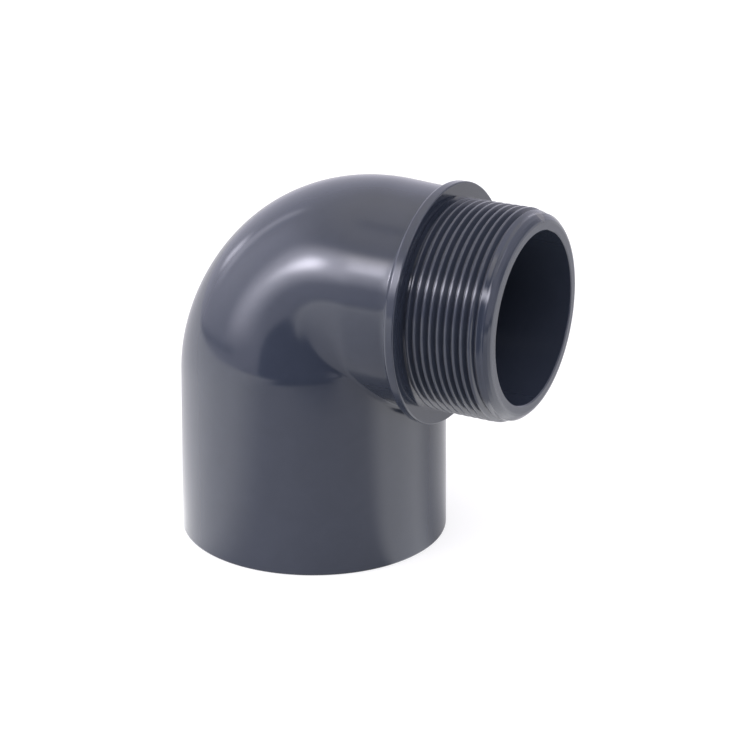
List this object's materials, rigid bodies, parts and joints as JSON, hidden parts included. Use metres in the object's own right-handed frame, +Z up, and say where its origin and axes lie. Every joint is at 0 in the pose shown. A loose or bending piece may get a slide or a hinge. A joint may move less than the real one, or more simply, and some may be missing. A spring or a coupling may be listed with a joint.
{
  "type": "pvc elbow fitting",
  "caption": "Right-angle PVC pressure pipe elbow: solvent-weld pipe socket on one leg, stop collar and male pipe thread on the other, swept bend between them.",
  "frame": {"origin": "centre of the pipe socket's mouth, on the annular rest face", "axes": "+Z up along the socket axis from mouth to bend; +X the way the threaded spigot points; the spigot axis lies 75.6 mm above the mouth; the part is symmetric about the XZ plane except for the thread"},
  "size_m": [0.1097, 0.079, 0.1098],
  "materials": {
    "pvc_grey": "smooth moulded, dark blue-grey, glossy"
  },
  "bodies": {
    "root": {"elbow_body": "pvc_grey"}
  },
  "joints": []
}
